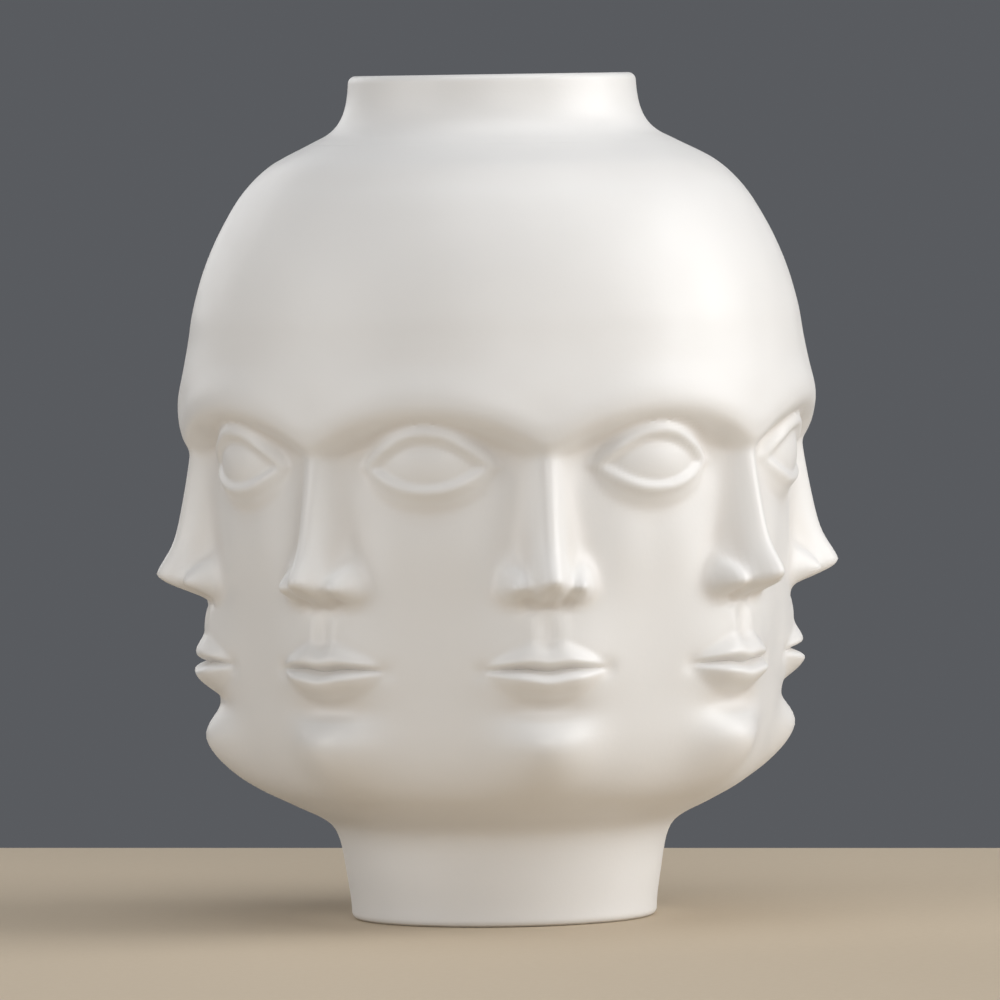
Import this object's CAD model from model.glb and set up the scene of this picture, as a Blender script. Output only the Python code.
import math
import bpy
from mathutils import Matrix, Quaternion, Vector


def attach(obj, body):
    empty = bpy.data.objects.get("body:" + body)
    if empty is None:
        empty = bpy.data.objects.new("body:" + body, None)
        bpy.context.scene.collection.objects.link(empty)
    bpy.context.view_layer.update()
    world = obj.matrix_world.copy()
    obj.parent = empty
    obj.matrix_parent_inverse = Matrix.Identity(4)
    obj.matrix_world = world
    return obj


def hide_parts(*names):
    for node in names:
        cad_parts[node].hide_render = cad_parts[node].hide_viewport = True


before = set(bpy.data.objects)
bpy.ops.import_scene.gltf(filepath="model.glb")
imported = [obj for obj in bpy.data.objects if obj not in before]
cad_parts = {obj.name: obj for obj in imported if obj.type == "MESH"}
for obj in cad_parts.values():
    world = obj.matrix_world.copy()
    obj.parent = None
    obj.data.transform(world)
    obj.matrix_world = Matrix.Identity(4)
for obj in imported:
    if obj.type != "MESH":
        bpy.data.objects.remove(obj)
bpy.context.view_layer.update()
print("frame loaded")

mm = 0.001

# The vase between two heads, from the table to the rim: radius and level in millimetres where each
# part starts, and points on the way to the next part as shares of it, outwards and upwards
vase = {"foot": {"start": (50.6, 0.0), "shares": [(0.14, 0.29), (0.57, 0.66)]},
        "bowl": {"start": (53.4, 22.0),
                 "shares": [(0.025, 0.04), (0.075, 0.077), (0.178, 0.106), (0.39, 0.144), (0.63, 0.196),
                            (0.783, 0.264), (0.868, 0.355), (0.913, 0.5), (0.948, 0.655), (0.981, 0.828)]},
        "temple": {"start": (95.8, 138.0), "shares": [(0.17, 0.276), (0.59, 0.517), (0.965, 0.759)]},
        "dome": {"start": (101.6, 196.0),
                 "shares": [(0.059, 0.195), (0.153, 0.383), (0.287, 0.57), (0.46, 0.749), (0.683, 0.889)]},
        "neck": {"start": (61.2, 257.4),
                 "shares": [(0.45, 0.14), (0.71, 0.285), (0.87, 0.47), (0.955, 0.69)]},
        "rim": {"start": (47.6, 280.0), "shares": []}}


def smooth(share):
    share = min(1.0, max(0.0, share))
    return share * share * (3 - 2 * share)


def hill(share):
    return math.exp(-share * share)


def between(low, high, share):
    return low + (high - low) * share


def joined(a, b, sharpness=5.0):  # two swellings that grow into each other
    return (max(0.0, a) ** sharpness + max(0.0, b) ** sharpness) ** (1 / sharpness)


def vaseOutline():  # its points, and the number of the first point in each part
    points, firsts = [], {}
    names = list(vase)
    for name, following in zip(names, names[1:] + names[-1:]):
        firsts[name] = len(points)
        (r0, z0), (r1, z1) = vase[name]["start"], vase[following]["start"]
        points.append((r0, z0))
        points += [(between(r0, r1, out), between(z0, z1, up)) for out, up in vase[name]["shares"]]
    return points, firsts


outline, firsts = vaseOutline()
footSeam, neckSeam = firsts["bowl"], firsts["neck"]


def curveAt(points, span):  # a point of the smooth curve through points, so many spans from the first
    index = min(int(span), len(points) - 2)
    t = span - index
    here, following = points[index], points[index + 1]
    before = [2 * a - b for a, b in zip(here, following)]
    if index > 0:
        before = points[index - 1]
    after = [2 * a - b for a, b in zip(following, here)]
    if index + 2 < len(points):
        after = points[index + 2]
    place = []
    for a, b, c, d in zip(before, here, following, after):
        square, cube = 2 * a - 5 * b + 4 * c - d, 3 * b - a - 3 * c + d
        place.append(0.5 * (2 * b + (c - a) * t + square * t * t + cube * t ** 3))
    return tuple(place)


halvings = 40


def spanAt(points, level):  # where a rising curve reaches a level
    low, high = 0.0, len(points) - 1.0
    for _ in range(halvings):
        middle = (low + high) / 2
        low, high = (middle, high) if curveAt(points, middle)[1] < level else (low, middle)
    return high


def stretch(points, low, high, steps):  # evenly spaced points of a rising curve between two levels
    start, end = spanAt(points, low), spanAt(points, high)
    return [curveAt(points, between(start, end, i / steps)) for i in range(steps + 1)]


def arc(radius, level, size, start, end, steps=8):  # part of a circle round a radius and a level, in degrees
    turns = [math.radians(between(start, end, i / steps)) for i in range(steps + 1)]
    return [(radius + size * math.cos(turn), level + size * math.sin(turn)) for turn in turns]


# Heads on the canon of drawing manuals: eyes at half of the head's height, three equal parts from
# the chin to the nose, the brow and the hairline, and the mouth a third of the way down from the nose
canon = {"heads": 8, "chin": 47.0, "crown": 261.0, "parts": 3.5, "unrollRadius": 97.0}
part = (canon["crown"] - canon["chin"]) / canon["parts"]
noseBase = canon["chin"] + part
browLevel = noseBase + part
eyeLevel = (canon["chin"] + canon["crown"]) / 2
mouthLevel = noseBase - part / 3
halfTurn = math.pi / canon["heads"]
eyeAcross = canon["unrollRadius"] * halfTurn


def bothHeads(across, half, middle=0.0):  # the same swelling here and on the neighbour
    return hill((across - middle) / half) + hill((2 * eyeAcross - across - middle) / half)


foreheadShape = {"depth": 6.8, "drop": 36.0, "rise": 10.7, "crown": 4.0, "arch": 16.0, "bend": 2.3,
                 "round": 4.5, "edge": 12.0, "ridge": 0.9, "ridgeRise": 3.5, "ridgeSpread": 6.0}


def forehead(across, level):
    s = foreheadShape
    toEye = max(0.0, eyeAcross - math.hypot(across, s["round"])) / eyeAcross
    brow = browLevel + s["crown"] - s["arch"] * toEye ** s["bend"]
    forward = smooth((browLevel + s["rise"] - level) / s["drop"] + 0.5)
    depth = s["depth"] * forward * smooth((level - brow) / s["edge"] + 1)
    return depth + s["ridge"] * hill((level - brow - s["ridgeRise"]) / s["ridgeSpread"]) * (1 - toEye / 2)


noseShape = {"rootRadius": 102.6, "tipRadius": 110.8, "rootDrop": 9.0, "rootSwell": 1.2, "tipRise": 8.5,
             "half": 4.8, "widening": 3.0, "rootWidening": 7.0, "bend": 1.25, "blend": 1.1,
             "flank": 2.4, "flankHalf": 12.0, "flankBlend": 34.0, "top": 14.0, "topBlend": 24.0,
             "tip": 2.77, "tipHalf": 7.2, "tipSpread": 7.0,
             "wing": 11.4, "wingAcross": 9.6, "wingHalf": 4.8, "wingRise": 5.6,
             "wingOver": 7.6, "wingUnder": 5.2, "union": 2.8,
             "underDrop": 3.0, "underBlend": 9.5, "underRound": 0.72, "underHalf": 7.0, "underSlope": 0.3,
             "nostril": 3.2, "nostrilAcross": 5.8, "nostrilHalf": 2.6,
             "nostrilRise": 0.6, "nostrilSpread": 2.4}


def nose(across, level, radius):
    s = noseShape
    rootLevel = browLevel - s["rootDrop"]
    tipLevel = noseBase + s["tipRise"]
    down = (rootLevel - level) / (rootLevel - tipLevel)
    bridgeRadius = between(s["rootRadius"], s["tipRadius"], min(1.0, max(0.0, down)) ** s["bend"])
    bridgeRadius += s["rootSwell"] * smooth(-down * s["blend"])
    half = s["half"] + s["widening"] * smooth(down) + s["rootWidening"] * smooth(-down * s["blend"])
    flank = s["flank"] * hill(across / s["flankHalf"]) * smooth((level - tipLevel) / s["flankBlend"])
    bridge = (bridgeRadius - radius - flank) * hill(across / half) + flank
    bridge *= smooth((browLevel + s["top"] - level) / s["topBlend"])
    tip = s["tip"] * hill(across / s["tipHalf"]) * hill((level - tipLevel) / s["tipSpread"])
    rise = level - noseBase - s["wingRise"]
    wing = s["wing"] * hill((across - s["wingAcross"]) / s["wingHalf"])
    wing *= hill(rise / (s["wingOver"] if rise > 0 else s["wingUnder"]))
    under = noseBase - s["underDrop"] + s["underSlope"] * max(0.0, s["underHalf"] - across)
    shelf = smooth((level - under) / s["underBlend"]) ** s["underRound"]
    return joined(bridge + tip, wing, s["union"]) * shelf


def nostril(across, level):
    s = noseShape
    hole = hill((across - s["nostrilAcross"]) / s["nostrilHalf"])
    return -s["nostril"] * hole * hill((level - noseBase - s["nostrilRise"]) / s["nostrilSpread"])


mouthShape = {"muzzle": 5.4, "muzzleHalf": 23.0, "muzzleRise": 3.0, "muzzleSpread": 21.0,
              "philtrumRidge": 0.55, "ridgeAcross": 4.6, "ridgeHalf": 2.4, "groove": 0.7, "grooveHalf": 2.8,
              "philtrumDrop": 8.0, "philtrumSpread": 5.0,
              "half": 21.5, "dip": 1.0, "dipHalf": 5.0, "sag": 0.8,
              "upper": 8.0, "upperSwell": 3.4, "upperTurn": 3.0,
              "peak": 1.2, "peakAcross": 5.0, "peakHalf": 3.4,
              "lower": 11.5, "lowerSwell": 5.0, "lowerTurn": 4.0, "least": 1.2,
              "taper": 0.8, "full": 0.3, "edge": 0.85, "fill": 0.62, "end": 0.2,
              "line": 1.0, "lineHalf": 1.0, "corner": 0.8, "cornerHalf": 3.0}


def muzzle(across, level):
    s = mouthShape
    swell = s["muzzle"] * bothHeads(across, s["muzzleHalf"])
    swell *= hill((level - mouthLevel - s["muzzleRise"]) / s["muzzleSpread"])
    ridge = s["philtrumRidge"] * hill((across - s["ridgeAcross"]) / s["ridgeHalf"])
    groove = s["groove"] * hill(across / s["grooveHalf"])
    return swell + (ridge - groove) * hill((level - noseBase + s["philtrumDrop"]) / s["philtrumSpread"])


def lineDrop(across):  # how far the line between the lips lies under the mouth's level
    s = mouthShape
    return s["dip"] * hill(across / s["dipHalf"]) + s["sag"] * min(1.0, across / s["half"]) ** 2


def lips(across, level):
    s = mouthShape
    out = min(1.0, across / s["half"])
    taper = (1 - out * out) ** s["taper"]
    above = level - mouthLevel + lineDrop(across)
    if above > 0:
        height = s["upper"] * taper + s["peak"] * hill((across - s["peakAcross"]) / s["peakHalf"])
        swell, turn = s["upperSwell"], s["upperTurn"]
    else:
        height, swell, turn = s["lower"] * taper, s["lowerSwell"], s["lowerTurn"]
    share = abs(above) / max(height, s["least"])
    fall = 1 - smooth((share - s["full"]) / s["edge"])
    full = smooth((1 - out) / s["fill"])
    turned = smooth(0.5 + 0.5 * abs(above) / (turn * max(taper, s["end"]))) * 2 - 1
    groove = s["line"] * hill(above / s["lineHalf"]) * smooth((1 - out) / s["end"])
    corner = s["corner"] * hill((across - s["half"]) / s["cornerHalf"]) * hill(above / s["cornerHalf"])
    return swell * full * turned * fall - groove - corner


jawShape = {"chin": 8.4, "chinHalf": 16.5, "chinRise": 14.0, "chinUnder": 15.0, "chinOver": 9.0,
            "fold": 2.4, "foldHalf": 13.0, "foldDrop": 14.0, "foldSpread": 4.2,
            "cheek": 1.4, "cheekAcross": 27.0, "cheekHalf": 11.0, "cheekRise": 20.0, "cheekSpread": 17.0,
            "socket": 1.6, "socketAcross": 15.0, "socketHalf": 7.0, "socketRise": 2.0, "socketSpread": 9.0}


def jaw(across, level):
    s = jawShape
    above = level - canon["chin"] - s["chinRise"]
    chin = s["chin"] * bothHeads(across, s["chinHalf"])
    chin *= hill(above / (s["chinOver"] if above > 0 else s["chinUnder"]))
    fold = s["fold"] * hill(across / s["foldHalf"])
    fold *= hill((level - mouthLevel + s["foldDrop"]) / s["foldSpread"])
    cheek = s["cheek"] * bothHeads(across, s["cheekHalf"], s["cheekAcross"])
    cheek *= hill((level - noseBase - s["cheekRise"]) / s["cheekSpread"])
    socket = s["socket"] * bothHeads(across, s["socketHalf"], s["socketAcross"])
    socket *= hill((level - eyeLevel - s["socketRise"]) / s["socketSpread"])
    return chin - fold + cheek - socket


eyeShape = {"half": 18.5, "drop": 1.0, "ball": 5.6, "ballHalf": 22.5, "ballSpread": 15.0, "ballRound": 1.3,
            "arch": 9.2, "floor": 7.0, "meet": 1.0, "sink": 1.3, "sinkEdge": 1.8,
            "lidEdge": 1.0, "corner": 6.0,
            "upper": 1.3, "upperWidth": 5.0, "lower": 0.8, "lowerWidth": 4.4, "fall": 3.2,
            "crease": 0.7, "creaseRise": 5.4, "creaseSpread": 1.3, "creaseEnd": 1.25, "creaseFade": 0.4}


def eye(across, level):
    s = eyeShape
    aside = (eyeAcross - across) / s["half"]
    rise = level - eyeLevel + s["drop"]
    bow = 1 - aside * aside
    over = (rise - s["arch"] * bow) / math.hypot(1, 2 * s["arch"] * aside / s["half"])
    under = (-rise - s["floor"] * bow) / math.hypot(1, 2 * s["floor"] * aside / s["half"])
    out = (over + under + math.hypot(over - under, s["meet"])) / 2  # how far outside the opening
    reach = (aside * s["half"] / s["ballHalf"]) ** 2 + (rise / s["ballSpread"]) ** 2
    height = s["ball"] * max(0.0, 1 - reach) ** s["ballRound"] - s["sink"] * smooth(-out / s["sinkEdge"])
    upper = smooth(0.5 + (over - under) / s["corner"])
    width = between(s["lowerWidth"], s["upperWidth"], upper)
    lid = between(s["lower"], s["upper"], upper)
    height += lid * smooth(out / s["lidEdge"]) * smooth((width - out) / s["fall"])
    crease = s["crease"] * hill((over - s["creaseRise"]) / s["creaseSpread"])
    return height - crease * upper * smooth((s["creaseEnd"] - abs(aside)) / s["creaseFade"])


fade = {"start": 33.0, "rise": 16.0, "end": 222.0, "fall": 20.0}  # where the heads leave the plain clay


def relief(across, level, radius):
    face = joined(forehead(across, level), nose(across, level, radius)) + nostril(across, level)
    face += muzzle(across, level) + lips(across, level) + jaw(across, level) + eye(across, level)
    face *= smooth((level - fade["start"]) / fade["rise"])
    return face * smooth((fade["end"] - level) / fade["fall"])


# Small helpers for node trees
def newTree(name, inputs):
    tree = bpy.data.node_groups.new(name, "GeometryNodeTree")
    tree.interface.new_socket("Geometry", in_out="INPUT", socket_type="NodeSocketGeometry")
    for label, kind, value in inputs:
        socket = tree.interface.new_socket(label, in_out="INPUT", socket_type=kind)
        if value is not None:
            socket.default_value = value
    tree.interface.new_socket("Geometry", in_out="OUTPUT", socket_type="NodeSocketGeometry")
    return tree


def addNode(tree, kind, inputs=None, **settings):
    node = tree.nodes.new(kind)
    for key, value in settings.items():
        setattr(node, key, value)
    for key, value in (inputs or {}).items():
        socket = node.inputs[key]
        if isinstance(value, bpy.types.NodeSocket):
            tree.links.new(value, socket)
        else:
            socket.default_value = value
    return node


def runTree(obj, tree, values):  # the tree's result as a plain mesh, in place of the object's own
    modifier = obj.modifiers.new(tree.name, "NODES")
    modifier.node_group = tree
    for item in tree.interface.items_tree:
        if item.in_out == "INPUT" and item.name in values:
            modifier[item.identifier] = values[item.name]
    depsgraph = bpy.context.evaluated_depsgraph_get()
    mesh = bpy.data.meshes.new_from_object(obj.evaluated_get(depsgraph), depsgraph=depsgraph)
    obj.modifiers.clear()
    section, obj.data = obj.data, mesh
    bpy.data.meshes.remove(section)
    mesh.name = obj.name
    return obj


def newObject(name, points, edges, faces):
    mesh = bpy.data.meshes.new(name)
    mesh.from_pydata(points, edges, faces)
    obj = bpy.data.objects.new(name, mesh)
    bpy.context.scene.collection.objects.link(obj)
    return obj


# Inside of the clay: the outline moved in by the wall, with a straight foot and a straight neck
inside = {"wall": 7.0, "floorTop": 10.0, "floorRadius": 46.0, "kneeRadius": 47.0,
          "mouth": 42.0, "throat": 266.0}
seams = {"foot": outline[footSeam][1], "neck": outline[neckSeam][1], "tongue": 3.0,
         "footTongue": 50.0, "neckTongue": 53.0}


def cavity(inset=0.0):
    points = [(inside["floorRadius"] - inset, inside["floorTop"] + inset),
              (inside["kneeRadius"] - inset, seams["foot"])]
    for index in range(footSeam + 1, neckSeam + 2):
        (r0, z0), (r1, z1), (r2, z2) = outline[index - 1:index + 2]
        run = math.hypot(r2 - r0, z2 - z0)
        depth = inside["wall"] + inset
        points.append((r1 - depth * (z2 - z0) / run, z1 + depth * (r2 - r0) / run))
    mouth = inside["mouth"] - inset
    return points + [(mouth, inside["throat"]), (mouth, outline[-1][1])]


# Head ring: half a head is worked out, mirrored to a whole one, and set round the vase by nodes
ring = {"columns": 26, "rows": 204, "insideRows": 18, "steps": 2000, "eyeRows": 1.7, "mouthRows": 2.2,
        "noseRows": 2.0, "seamRows": 2.5, "seamSpread": 8.0, "nearest": 0.001,
        "hollowRows": 5, "hollowColumns": 3, "plainRows": 16}


def rowSpans():  # rows lie closer together at eyes, nose, mouth and the neck's seam
    steps = [between(footSeam, neckSeam, i / ring["steps"]) for i in range(ring["steps"] + 1)]
    places = [curveAt(outline, step) for step in steps]
    total = [0.0]
    for low, high in zip(places, places[1:]):
        level = (low[1] + high[1]) / 2
        detail = 1 + ring["eyeRows"] * hill((level - eyeLevel) / eyeShape["ballSpread"])
        detail += ring["mouthRows"] * hill((level - mouthLevel) / mouthShape["lower"])
        detail += ring["noseRows"] * hill((level - noseBase) / noseShape["underBlend"])
        detail += ring["seamRows"] * hill((seams["neck"] - level) / ring["seamSpread"])
        total.append(total[-1] + math.dist(low, high) * detail)
    spans, step = [steps[0]], 0
    for row in range(1, ring["rows"]):
        wanted = total[-1] * row / ring["rows"]
        while total[step + 1] < wanted:
            step += 1
        share = (wanted - total[step]) / (total[step + 1] - total[step])
        spans.append(between(steps[step], steps[step + 1], share))
    return spans + [steps[-1]]


def skinPoint(across, span):  # radius and level, on rows that follow the line between the lips
    radius, level = curveAt(outline, span)
    near = hill((level - mouthLevel) / mouthShape["lower"])
    if near > ring["nearest"]:
        radius, level = curveAt(outline, spanAt(outline, level - lineDrop(across) * near))
    return radius + relief(across, level, radius), level


def halfHead():  # row by row, from the middle of a face to the middle of an eye
    acrosses = [eyeAcross * column / ring["columns"] for column in range(ring["columns"] + 1)]
    return [[skinPoint(across, span) for across in acrosses] for span in rowSpans()]


skin = halfHead()
print("half head:", len(skin), "rows of", len(skin[0]), "points")


def hollow(row, column):  # how far a point lies under the skin round it, in millimetres
    last = ring["columns"]
    ups = (-ring["hollowRows"], 0, ring["hollowRows"])
    asides = (-ring["hollowColumns"], 0, ring["hollowColumns"])
    radii = []
    for rise, shift in ((up, aside) for up in ups for aside in asides if up or aside):
        place = last - abs(last - abs(column + shift))
        radii.append(skin[min(max(row + rise, 0), ring["rows"])][place][0])
    return sum(radii) / len(radii) - skin[row][column][0]


def headMesh():  # one head with the clay behind it, as wide as its turn
    low, high = seams["foot"] + seams["tongue"], seams["neck"] + seams["tongue"]
    inner = stretch(cavity(), low, high, ring["insideRows"])
    back = [(seams["neckTongue"], seams["neck"]), (seams["neckTongue"], inner[-1][1])] + inner[::-1]
    back += [(seams["footTongue"], inner[0][1]), (seams["footTongue"], seams["foot"])]
    points, hollows = [], []
    for column in range(-ring["columns"], ring["columns"] + 1):
        turn = halfTurn * column / ring["columns"] - math.pi / 2
        for radius, level in [row[abs(column)] for row in skin] + back:
            points.append((radius * math.cos(turn) * mm, radius * math.sin(turn) * mm, level * mm))
        for row in range(len(skin)):
            seamward = smooth(min(row, ring["rows"] - row) / ring["plainRows"])
            hollows.append(hollow(row, abs(column)) * seamward)
        hollows += [0.0] * len(back)
    loop = len(skin) + len(back)
    faces = [(c * loop + i, (c + 1) * loop + i, (c + 1) * loop + (i + 1) % loop, c * loop + (i + 1) % loop)
             for c in range(2 * ring["columns"]) for i in range(loop)]
    head = newObject("headRing", points, [], faces)
    head.data.attributes.new("hollow", "FLOAT", "POINT").data.foreach_set("value", hollows)
    return head


# Both trees end alike: what lies together is joined, edges over an angle stay sharp, and the bottom
# of the foot stays bare
treeInputs = [("Join distance", "NodeSocketFloat", 0.01 * mm),
              ("Sharp angle", "NodeSocketFloat", math.radians(50)),
              ("Material", "NodeSocketMaterial", None), ("Bare material", "NodeSocketMaterial", None),
              ("Bare below", "NodeSocketFloat", -1.0)]


def finishTree(tree, given, geometry):
    merged = addNode(tree, "GeometryNodeMergeByDistance",
                     {"Geometry": geometry, "Distance": given["Join distance"]})
    soft = addNode(tree, "GeometryNodeSetShadeSmooth",
                   {"Geometry": merged.outputs[0], "Shade Smooth": True})
    angle = addNode(tree, "GeometryNodeInputMeshEdgeAngle").outputs["Unsigned Angle"]
    sharp = addNode(tree, "FunctionNodeCompare", {"A": angle, "B": given["Sharp angle"]},
                    operation="GREATER_THAN")
    edged = addNode(tree, "GeometryNodeSetShadeSmooth",
                    {"Geometry": soft.outputs[0], "Selection": sharp.outputs[0], "Shade Smooth": False},
                    domain="EDGE")
    real = addNode(tree, "GeometryNodeRealizeInstances", {"Geometry": edged.outputs[0]})
    glazed = addNode(tree, "GeometryNodeSetMaterial",
                     {"Geometry": real.outputs[0], "Material": given["Material"]})
    position = addNode(tree, "GeometryNodeInputPosition").outputs[0]
    place = addNode(tree, "ShaderNodeSeparateXYZ", {"Vector": position})
    low = addNode(tree, "FunctionNodeCompare", {"A": place.outputs["Z"], "B": given["Bare below"]},
                  operation="LESS_THAN")
    bare = addNode(tree, "GeometryNodeSetMaterial",
                   {"Geometry": glazed.outputs[0], "Selection": low.outputs[0],
                    "Material": given["Bare material"]})
    tree.links.new(bare.outputs[0], addNode(tree, "NodeGroupOutput").inputs[0])


def ringTree():  # sets copies of a mesh round the upright axis
    tree = newTree("set round the axis", [("Copies", "NodeSocketInt", canon["heads"])] + treeInputs)
    given = addNode(tree, "NodeGroupInput").outputs
    turn = addNode(tree, "ShaderNodeMath", {0: math.tau, 1: given["Copies"]}, operation="DIVIDE")
    number = addNode(tree, "GeometryNodeInputIndex").outputs[0]
    angle = addNode(tree, "ShaderNodeMath", {0: number, 1: turn.outputs[0]}, operation="MULTIPLY")
    upright = addNode(tree, "ShaderNodeCombineXYZ", {"Z": angle.outputs[0]})
    points = addNode(tree, "GeometryNodePoints", {"Count": given["Copies"]})
    copies = addNode(tree, "GeometryNodeInstanceOnPoints",
                     {"Points": points.outputs[0], "Instance": given["Geometry"],
                      "Rotation": upright.outputs[0]})
    real = addNode(tree, "GeometryNodeRealizeInstances", {"Geometry": copies.outputs[0]})
    finishTree(tree, given, real.outputs[0])
    return tree


turning = {"radius": 50.0, "segments": 320, "liningSegments": 208}


def turningTree():  # turns a closed section round the upright axis, as on a wheel
    sizes = [("Segments", "NodeSocketInt", turning["segments"]),
             ("Radius", "NodeSocketFloat", turning["radius"] * mm)]
    tree = newTree("turned on the wheel", sizes + treeInputs)
    given = addNode(tree, "NodeGroupInput").outputs
    section = addNode(tree, "GeometryNodeMeshToCurve", {0: given["Geometry"]})
    circle = addNode(tree, "GeometryNodeCurvePrimitiveCircle",
                     {"Resolution": given["Segments"], "Radius": given["Radius"]})
    swept = addNode(tree, "GeometryNodeCurveToMesh",
                    {"Curve": circle.outputs[0], "Profile Curve": section.outputs[0]})
    finishTree(tree, given, swept.outputs[0])
    return tree


def sectionObject(name, section):  # a closed section, listed upwards outside and downwards inside
    points = [((radius - turning["radius"]) * mm, -level * mm, 0.0) for radius, level in reversed(section)]
    return newObject(name, points, [(i, (i + 1) % len(points)) for i in range(len(points))], [])


neck = {"rimRound": 2.6, "steps": 30, "throatSteps": 6}


def neckSection():
    top = outline[-1][1]
    side = stretch(outline, seams["neck"], top - neck["rimRound"], neck["steps"])
    rim = arc(side[-1][0] - neck["rimRound"], side[-1][1], neck["rimRound"], 0, 90)
    rim += arc(inside["mouth"] + neck["rimRound"], side[-1][1], neck["rimRound"], 90, 180)
    throat = stretch(cavity(), seams["neck"] + seams["tongue"], inside["throat"], neck["throatSteps"])[::-1]
    joint = [(seams["neckTongue"], throat[-1][1]), (seams["neckTongue"], seams["neck"])]
    return side[:-1] + rim + throat + joint


foot = {"round": 2.4, "lip": 6.5, "recess": 4.0, "steps": 20, "insideSteps": 8, "bareBelow": 0.7}


def footSection():
    lip = outline[0][0] - foot["lip"]
    side = stretch(outline, foot["round"], seams["foot"], foot["steps"])
    table = arc(lip + foot["round"], foot["round"], foot["round"], 180, 270)
    table += arc(side[0][0] - foot["round"], foot["round"], foot["round"], -90, 0)
    tongueTop = seams["foot"] + seams["tongue"]
    joint = [(seams["footTongue"], seams["foot"]), (seams["footTongue"], tongueTop)]
    inner = stretch(cavity(), inside["floorTop"], tongueTop, foot["insideSteps"])[::-1]
    rebate = [(inside["floorRadius"], foot["recess"]), (lip, foot["recess"])]
    return table[:-1] + side + joint + inner + rebate


disc = {"ringDepth": 0.12, "rings": 9, "steps": 90}


def discSection():  # its underside keeps the shallow rings of the turning tool
    under = []
    for step in range(disc["steps"] + 1):
        share = step / disc["steps"]
        groove = disc["ringDepth"] * (1 - math.cos(math.tau * disc["rings"] * share)) / 2
        groove *= smooth((1 - share) * disc["rings"])
        under.append((inside["floorRadius"] * share, foot["recess"] + groove))
    return under + [(inside["floorRadius"], inside["floorTop"]), (0.0, inside["floorTop"])]


lining = {"gap": 0.2, "glaze": 0.5, "stop": 3.0, "steps": 104, "feather": 5.0, "featherSteps": 8}


def liningSection():  # towards the rim the glaze thins out on the clay
    start = outline[-1][1] - lining["stop"] - lining["feather"]
    shares = [step / lining["featherSteps"] for step in range(1, lining["featherSteps"] + 1)]
    sides = []
    for inset in (lining["gap"], lining["gap"] + lining["glaze"]):
        floor = inside["floorTop"] + inset
        side = [(0.0, floor)] + stretch(cavity(inset), floor, start, lining["steps"])
        side += [(inside["mouth"] - inset * (1 - smooth(t)), start + lining["feather"] * t) for t in shares]
        sides.append(side)
    return sides[0] + sides[1][-2::-1]


# Finishes
noiseSpan = (0.3, 0.7)  # most values of a noise texture lie in here
porcelain = {"colour": (0.80, 0.79, 0.775), "pooled": (0.765, 0.742, 0.715),
             "pooledFrom": 0.1, "pooledTo": 1.8,
             "cloud": 0.035, "cloudSize": 60 * mm,
             "satin": (0.36, 0.46), "satinSize": 14 * mm, "satinDetail": 4.0,
             "wave": 0.25 * mm, "waveSize": 26 * mm, "waveDetail": 1.0,
             "peel": 0.018 * mm, "peelSize": 1.6 * mm}


def newMaterial(name):
    material = bpy.data.materials.new(name)
    material.use_nodes = True
    return material, material.node_tree, material.node_tree.nodes["Principled BSDF"]


def noise(tree, size, detail=2.0):
    place = addNode(tree, "ShaderNodeTexCoord").outputs["Object"]
    texture = addNode(tree, "ShaderNodeTexNoise", {"Vector": place, "Scale": 1 / size, "Detail": detail})
    return texture.outputs["Fac"]


def ranged(tree, value, low, high, start, end):
    return addNode(tree, "ShaderNodeMapRange", {"Value": value, "From Min": low, "From Max": high,
                                                "To Min": start, "To Max": end}).outputs["Result"]


def mixed(tree, share, first, second):
    mix = addNode(tree, "ShaderNodeMix", {0: share, 6: (*first, 1.0), 7: (*second, 1.0)}, data_type="RGBA")
    return mix.outputs[2]


def bumps(tree, shader, *layers):  # each layer: a height and how deep it is in metres
    normal = None
    for height, depth in layers:
        bump = addNode(tree, "ShaderNodeBump", {"Height": height, "Distance": depth})
        if normal:
            tree.links.new(normal, bump.inputs["Normal"])
        normal = bump.outputs["Normal"]
    tree.links.new(normal, shader.inputs["Normal"])


def satinPorcelain():
    s = porcelain
    material, tree, shader = newMaterial("satinPorcelain")
    hollows = addNode(tree, "ShaderNodeAttribute", attribute_name="hollow").outputs["Fac"]
    pooled = ranged(tree, hollows, s["pooledFrom"], s["pooledTo"], 0.0, 1.0)
    base = mixed(tree, pooled, s["colour"], s["pooled"])
    cloud = ranged(tree, noise(tree, s["cloudSize"]), *noiseSpan, 1 - s["cloud"], 1.0)
    grey = addNode(tree, "ShaderNodeCombineColor", {"Red": cloud, "Green": cloud, "Blue": cloud}).outputs[0]
    colour = addNode(tree, "ShaderNodeMix", {0: 1.0, 6: base, 7: grey},
                     data_type="RGBA", blend_type="MULTIPLY")
    tree.links.new(colour.outputs[2], shader.inputs["Base Color"])
    satin = ranged(tree, noise(tree, s["satinSize"], s["satinDetail"]), *noiseSpan, *s["satin"])
    tree.links.new(satin, shader.inputs["Roughness"])
    wave = noise(tree, s["waveSize"], s["waveDetail"])
    bumps(tree, shader, (wave, s["wave"]), (noise(tree, s["peelSize"]), s["peel"]))
    return material


gloss = {"colour": (0.80, 0.80, 0.78), "roughness": (0.06, 0.14), "size": 20 * mm, "detail": 3.0,
         "wave": 0.2 * mm, "waveDetail": 1.0}


def glossGlaze():
    s = gloss
    material, tree, shader = newMaterial("glossGlaze")
    colour = mixed(tree, noise(tree, s["size"]), s["colour"], porcelain["colour"])
    tree.links.new(colour, shader.inputs["Base Color"])
    roughness = ranged(tree, noise(tree, s["size"], s["detail"]), *noiseSpan, *s["roughness"])
    tree.links.new(roughness, shader.inputs["Roughness"])
    bumps(tree, shader, (noise(tree, s["size"], s["waveDetail"]), s["wave"]))
    return material


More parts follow.
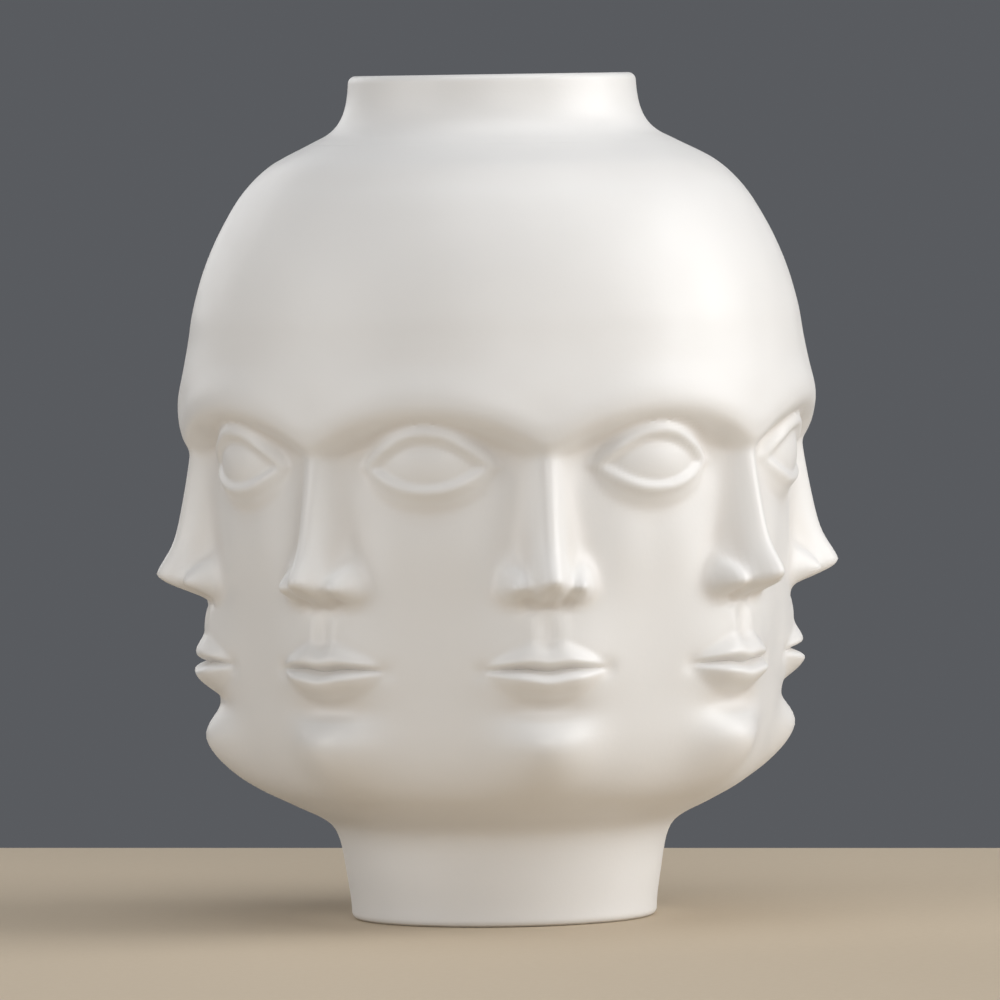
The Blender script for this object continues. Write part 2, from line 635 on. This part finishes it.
biscuit = {"colour": (0.72, 0.69, 0.64), "dark": (0.62, 0.58, 0.52), "roughness": (0.75, 0.9),
           "speckSize": 0.8 * mm, "grain": 0.05 * mm, "grainDetail": 3.0,
           "patchSize": 12 * mm, "patchDetail": 5.0, "patchSpan": (0.35, 0.7)}


def bareBiscuit():
    s = biscuit
    material, tree, shader = newMaterial("bareBiscuit")
    patches = ranged(tree, noise(tree, s["patchSize"], s["patchDetail"]), *s["patchSpan"], 0.0, 1.0)
    tree.links.new(mixed(tree, patches, s["colour"], s["dark"]), shader.inputs["Base Color"])
    roughness = ranged(tree, noise(tree, s["speckSize"]), *noiseSpan, *s["roughness"])
    tree.links.new(roughness, shader.inputs["Roughness"])
    bumps(tree, shader, (noise(tree, s["speckSize"], s["grainDetail"]), s["grain"]))
    return material


satin, glossy, bare = satinPorcelain(), glossGlaze(), bareBiscuit()
around, wheel = ringTree(), turningTree()

headRing = runTree(headMesh(), around, {"Material": satin, "Bare material": bare})
print("head ring:", len(headRing.data.vertices), "points")


def turned(name, section, material, **sizes):
    values = {"Material": material, "Bare material": bare, "Radius": turning["radius"] * mm,
              "Segments": turning["segments"]}
    piece = runTree(sectionObject(name, section), wheel, {**values, **sizes})
    print(name + ":", len(piece.data.vertices), "points")
    return piece


neckCollar = turned("neckCollar", neckSection(), satin)
footRing = turned("footRing", footSection(), satin, **{"Bare below": foot["bareBelow"] * mm})
floorDisc = turned("floorDisc", discSection(), bare)
glazeLining = turned("glazeLining", liningSection(), glossy, Segments=turning["liningSegments"])

# Each piece stands for its part of the frame, and all of them are one body
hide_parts("head_ring")
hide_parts("neck_collar")
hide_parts("foot_ring")
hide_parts("base_disc")
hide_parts("glaze_lining")
finishes = {headRing: "satin_porcelain", neckCollar: "satin_porcelain", footRing: "satin_porcelain",
            floorDisc: "bare_biscuit", glazeLining: "gloss_glaze"}
for piece, finish in finishes.items():
    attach(piece, "root")
print("pieces placed")

# Plain pale floor, soft light, and the camera where the photograph was taken
studio = {"floor": (0.56, 0.465, 0.345), "side": 2.0, "front": -2.0, "back": 0.3, "floorTurn": -20.9,
          "grain": 3 * mm, "detail": 4.0, "roughness": (0.7, 0.85),
          "air": (0.10, 0.105, 0.115), "aim": (0.0, 0.0, 0.15)}
lamps = {"key": {"place": (1.75, -0.55, 0.85), "size": (1.5, 1.5), "power": 31.0},
         "left": {"place": (-1.8, -0.5, 0.65), "size": (1.4, 1.4), "power": 12.3},
         "front": {"place": (0.1, -2.2, 0.8), "size": (1.4, 1.0), "power": 12.5},
         "top": {"place": (0.1, -0.3, 1.6), "size": (1.4, 1.2), "power": 8.0},
         "back": {"place": (-0.9, 2.0, 0.9), "size": (1.6, 1.2), "power": 9.0}}
view = {"turn": -9.0, "distance": 3.5, "height": 0.28, "aim": 0.1385, "side": 0.0006, "width": 0.3325,
        "roll": -0.88, "sensor": 36.0, "farthest": 20.0}


def floorPaper():
    material, tree, shader = newMaterial("floorPaper")
    shader.inputs["Base Color"].default_value = (*studio["floor"], 1.0)
    speckle = noise(tree, studio["grain"], studio["detail"])
    roughness = ranged(tree, speckle, *noiseSpan, *studio["roughness"])
    tree.links.new(roughness, shader.inputs["Roughness"])
    return material


side, front, back = studio["side"], studio["front"], studio["back"]
floorTurn = Quaternion((0, 0, 1), math.radians(studio["floorTurn"]))
corners = [(-side, front), (side, front), (side, back), (-side, back)]
corners = [floorTurn @ Vector((x, y, 0)) for x, y in corners]
floor = newObject("floor", corners, [], [(0, 1, 2, 3)])
floor.data.materials.append(floorPaper())

scene = bpy.context.scene
scene.world = bpy.data.worlds.new("studio air")
scene.world.use_nodes = True
scene.world.node_tree.nodes["Background"].inputs["Color"].default_value = (*studio["air"], 1.0)
scene.view_settings.view_transform = "Standard"

for name, lamp in lamps.items():
    light = bpy.data.lights.new(name, "AREA")
    light.shape = "RECTANGLE"
    light.size, light.size_y = lamp["size"]
    light.energy = lamp["power"]
    holder = bpy.data.objects.new(name, light)
    holder.location = lamp["place"]
    beam = Vector(studio["aim"]) - Vector(lamp["place"])
    holder.rotation_euler = beam.to_track_quat("-Z", "Y").to_euler()
    scene.collection.objects.link(holder)

turn = math.radians(view["turn"])
camera = bpy.data.objects.new("camera", bpy.data.cameras.new("camera"))
camera.location = (view["distance"] * math.sin(turn), -view["distance"] * math.cos(turn), view["height"])
look = Vector((view["side"] * math.cos(turn), view["side"] * math.sin(turn), view["aim"])) - camera.location
roll = Quaternion((0, 0, 1), math.radians(view["roll"]))
camera.rotation_euler = (look.to_track_quat("-Z", "Y") @ roll).to_euler()
camera.data.sensor_width = view["sensor"]
camera.data.lens = view["sensor"] * look.length / view["width"]
camera.data.clip_end = view["farthest"]
scene.collection.objects.link(camera)
scene.camera = camera
print("studio ready")
